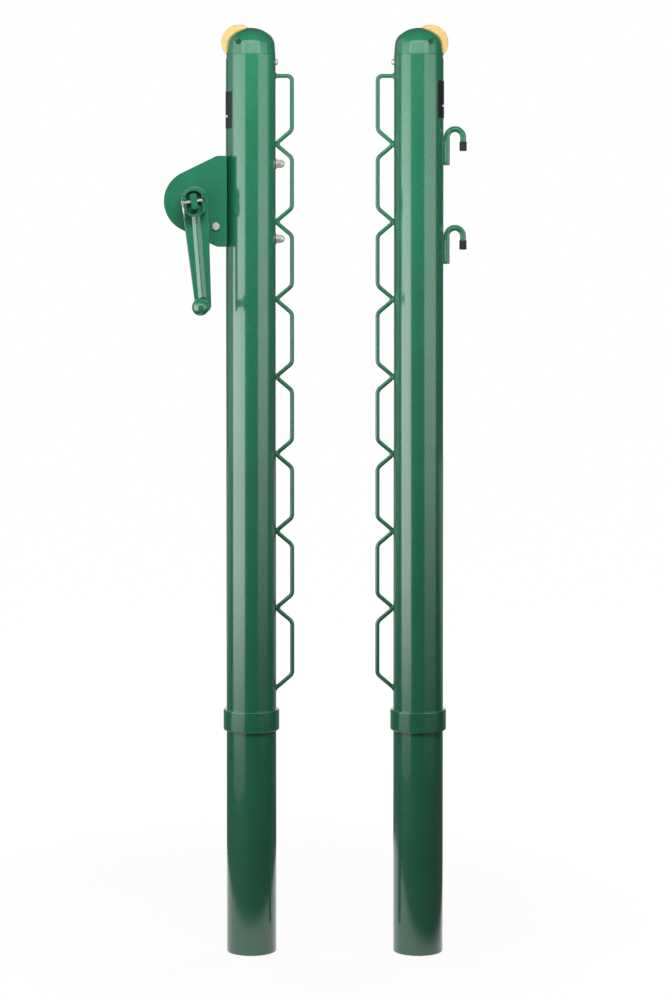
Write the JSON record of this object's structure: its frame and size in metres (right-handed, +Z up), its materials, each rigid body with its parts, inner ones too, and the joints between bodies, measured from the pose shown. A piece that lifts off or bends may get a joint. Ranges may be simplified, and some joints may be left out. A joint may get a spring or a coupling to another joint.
{
  "type": "tennis net post pair",
  "caption": "Pair of round green steel tennis net posts with domed pulley caps, ground collars, bent lacing rods, a ratchet winch with crank, and cable hooks.",
  "frame": {"origin": "middle of the winch post's foot, on the floor", "axes": "+Z up along the posts, +X from the winch post to the hook post, -Y towards the crank's grip"},
  "size_m": [0.4596, 0.1985, 1.4202],
  "materials": {
    "green_coat": "glossy dark green powder coat",
    "bright_steel": "bright zinc plated and polished steel",
    "steel_inner": "machined steel, lightly oiled",
    "pulley_brass": "pale polished brass",
    "bush_bronze": "sintered bronze",
    "label_black": "black vinyl label",
    "tip_rubber": "black ribbed rubber"
  },
  "bodies": {
    "root": {"winch_post_tube": "green_coat", "winch_post_foot_plug": "green_coat", "winch_post_ground_collar": "green_coat", "winch_post_cap": "green_coat", "winch_post_lacing_rod": "green_coat", "winch_post_weld_beads": "green_coat", "winch_post_cap_screw": "bright_steel", "winch_post_pulley_axle": "bright_steel", "winch_post_label": "label_black", "hook_post_tube": "green_coat", "hook_post_foot_plug": "green_coat", "hook_post_ground_collar": "green_coat", "hook_post_cap": "green_coat", "hook_post_lacing_rod": "green_coat", "hook_post_weld_beads": "green_coat", "hook_post_cap_screw": "bright_steel", "hook_post_pulley_axle": "bright_steel", "hook_post_label": "label_black", "winch_base_plate": "green_coat", "winch_front_plate": "green_coat", "winch_rear_plate": "green_coat", "winch_mounting_bolts": "bright_steel", "winch_washers": "bright_steel", "winch_acorn_nuts": "bright_steel", "pawl_bolt": "bright_steel", "pawl_nut": "bright_steel", "pawl_spacer": "steel_inner", "pawl_spring": "steel_inner", "front_bush": "bush_bronze", "rear_bush": "bush_bronze", "upper_cable_hook": "green_coat", "lower_cable_hook": "green_coat", "upper_hook_tip": "tip_rubber", "lower_hook_tip": "tip_rubber"},
    "winch_pulley": {"winch_post_pulley": "pulley_brass"},
    "hook_pulley": {"hook_post_pulley": "pulley_brass"},
    "crank": {"winch_shaft": "green_coat", "shaft_clip": "steel_inner", "cable_drum": "steel_inner", "drum_pin": "steel_inner", "drum_flange": "green_coat", "ratchet_wheel": "steel_inner", "cable_clamp_screw": "steel_inner", "crank_arm": "green_coat", "grip_stud": "steel_inner"},
    "grip": {"crank_grip": "green_coat"},
    "pawl": {"pawl": "steel_inner"},
    "lock_pin": {"lock_pin": "bright_steel"},
    "pull_ring": {"pull_ring": "bright_steel"}
  },
  "joints": [
    {"name": "winch_pulley_spin", "type": "hinge", "parent": "root", "child": "winch_pulley", "pos_m": [-0.0175, 0, 1.3932], "axis": [0, -1, 0], "continuous": true},
    {"name": "hook_pulley_spin", "type": "hinge", "parent": "root", "child": "hook_pulley", "pos_m": [0.2735, 0, 1.3932], "axis": [0, -1, 0], "continuous": true},
    {"name": "crank_turn", "type": "hinge", "parent": "root", "child": "crank", "pos_m": [-0.083, 0, 1.1525], "axis": [0, -1, 0], "continuous": true},
    {"name": "grip_spin", "type": "hinge", "parent": "crank", "child": "grip", "pos_m": [-0.07068, -0.1, 0.99598], "axis": [0, -1, 0], "continuous": true},
    {"name": "pawl_lift", "type": "hinge", "parent": "root", "child": "pawl", "pos_m": [-0.0517, -0.029, 1.1147], "axis": [0, -1, 0], "range_deg": [0, 18], "stiffness_Nm_per_rad": 0.08, "springref_deg": -28.65, "deforming": ["pawl_spring"]},
    {"name": "lock_pin_pull", "type": "slide", "parent": "crank", "child": "lock_pin", "axis": [-0.989, 0, -0.1478], "range_m": [0, 0.03]},
    {"name": "pull_ring_swing", "type": "hinge", "parent": "lock_pin", "child": "pull_ring", "pos_m": [-0.10056, -0.0687, 1.14988], "axis": [0, 1, 0], "range_deg": [0, 150]}
  ]
}
